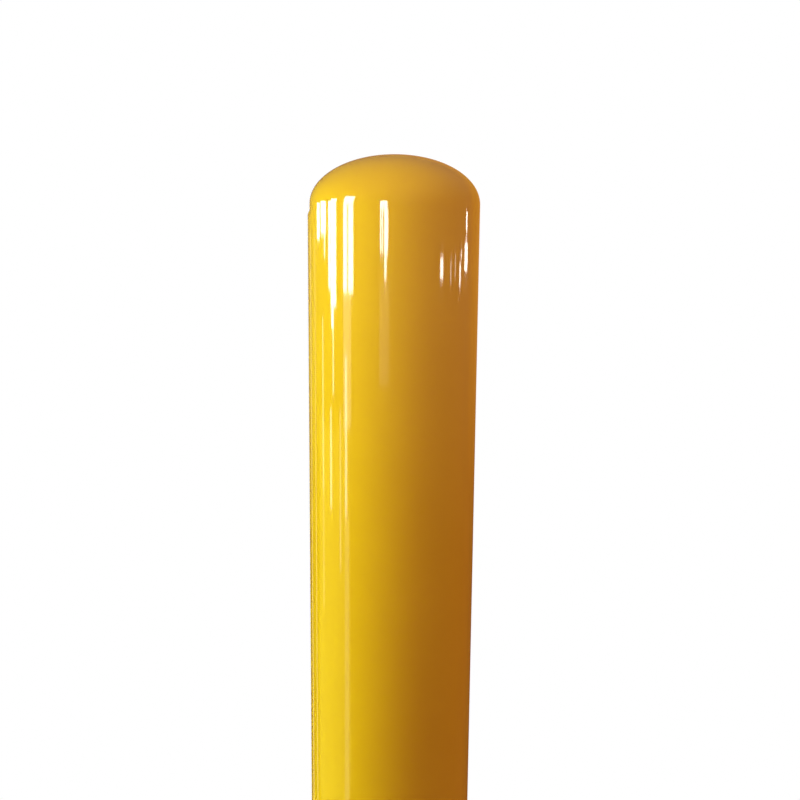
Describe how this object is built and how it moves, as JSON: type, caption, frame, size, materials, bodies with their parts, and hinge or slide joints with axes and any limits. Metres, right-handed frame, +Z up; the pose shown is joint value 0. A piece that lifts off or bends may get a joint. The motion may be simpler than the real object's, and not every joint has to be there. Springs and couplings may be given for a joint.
{
  "type": "steel safety bollard",
  "caption": "Fixed steel bollard: round post with a low domed cap, welded to a square base plate that wedge anchors hold to a floor; the nuts turn and draw the studs.",
  "frame": {"origin": "on the floor, at the middle of the base plate's underside and of the anchor pattern", "axes": "+Z up along the post, +X and +Y along the base plate's sides; the front faces -Y"},
  "size_m": [0.2, 0.2, 0.988],
  "materials": {
    "yellow_powder_coat": "glossy yellow powder coat over steel",
    "zinc_plate": "bright zinc plate on steel",
    "spring_steel": "zinc plated spring steel",
    "clip_steel": "plain rolled sheet steel"
  },
  "bodies": {
    "post": {"post_tube": "yellow_powder_coat", "dome_cap": "yellow_powder_coat", "cap_weld": "yellow_powder_coat", "base_plate": "yellow_powder_coat", "base_weld": "yellow_powder_coat", "expansion_clip_1": "clip_steel", "flat_washer_1": "zinc_plate", "lock_washer_1": "spring_steel", "expansion_clip_2": "clip_steel", "flat_washer_2": "zinc_plate", "lock_washer_2": "spring_steel", "expansion_clip_3": "clip_steel", "flat_washer_3": "zinc_plate", "lock_washer_3": "spring_steel", "expansion_clip_4": "clip_steel", "flat_washer_4": "zinc_plate", "lock_washer_4": "spring_steel"},
    "stud_1": {"anchor_stud_1": "zinc_plate"},
    "nut_1": {"anchor_nut_1": "zinc_plate"},
    "stud_2": {"anchor_stud_2": "zinc_plate"},
    "nut_2": {"anchor_nut_2": "zinc_plate"},
    "stud_3": {"anchor_stud_3": "zinc_plate"},
    "nut_3": {"anchor_nut_3": "zinc_plate"},
    "stud_4": {"anchor_stud_4": "zinc_plate"},
    "nut_4": {"anchor_nut_4": "zinc_plate"}
  },
  "joints": [
    {"name": "nut_turn_1", "type": "hinge", "parent": "post", "child": "nut_1", "pos_m": [0.075, 0.075, 0.0184], "axis": [0, 0, 1], "range_deg": [0, 1080]},
    {"name": "stud_draw_1", "type": "slide", "parent": "post", "child": "stud_1", "axis": [0, 0, -1], "range_m": [0, 0.00525]},
    {"name": "nut_turn_2", "type": "hinge", "parent": "post", "child": "nut_2", "pos_m": [-0.075, 0.075, 0.0184], "axis": [0, 0, 1], "range_deg": [0, 1080]},
    {"name": "stud_draw_2", "type": "slide", "parent": "post", "child": "stud_2", "axis": [0, 0, -1], "range_m": [0, 0.00525]},
    {"name": "nut_turn_3", "type": "hinge", "parent": "post", "child": "nut_3", "pos_m": [-0.075, -0.075, 0.0184], "axis": [0, 0, 1], "range_deg": [0, 1080]},
    {"name": "stud_draw_3", "type": "slide", "parent": "post", "child": "stud_3", "axis": [0, 0, -1], "range_m": [0, 0.00525]},
    {"name": "nut_turn_4", "type": "hinge", "parent": "post", "child": "nut_4", "pos_m": [0.075, -0.075, 0.0184], "axis": [0, 0, 1], "range_deg": [0, 1080]},
    {"name": "stud_draw_4", "type": "slide", "parent": "post", "child": "stud_4", "axis": [0, 0, -1], "range_m": [0, 0.00525]}
  ],
  "couplings": [
    {"joint": "nut_turn_1", "follows": "stud_draw_1", "rad_per_m": 3590.4},
    {"joint": "nut_turn_2", "follows": "stud_draw_2", "rad_per_m": 3590.4},
    {"joint": "nut_turn_3", "follows": "stud_draw_3", "rad_per_m": 3590.4},
    {"joint": "nut_turn_4", "follows": "stud_draw_4", "rad_per_m": 3590.4}
  ]
}
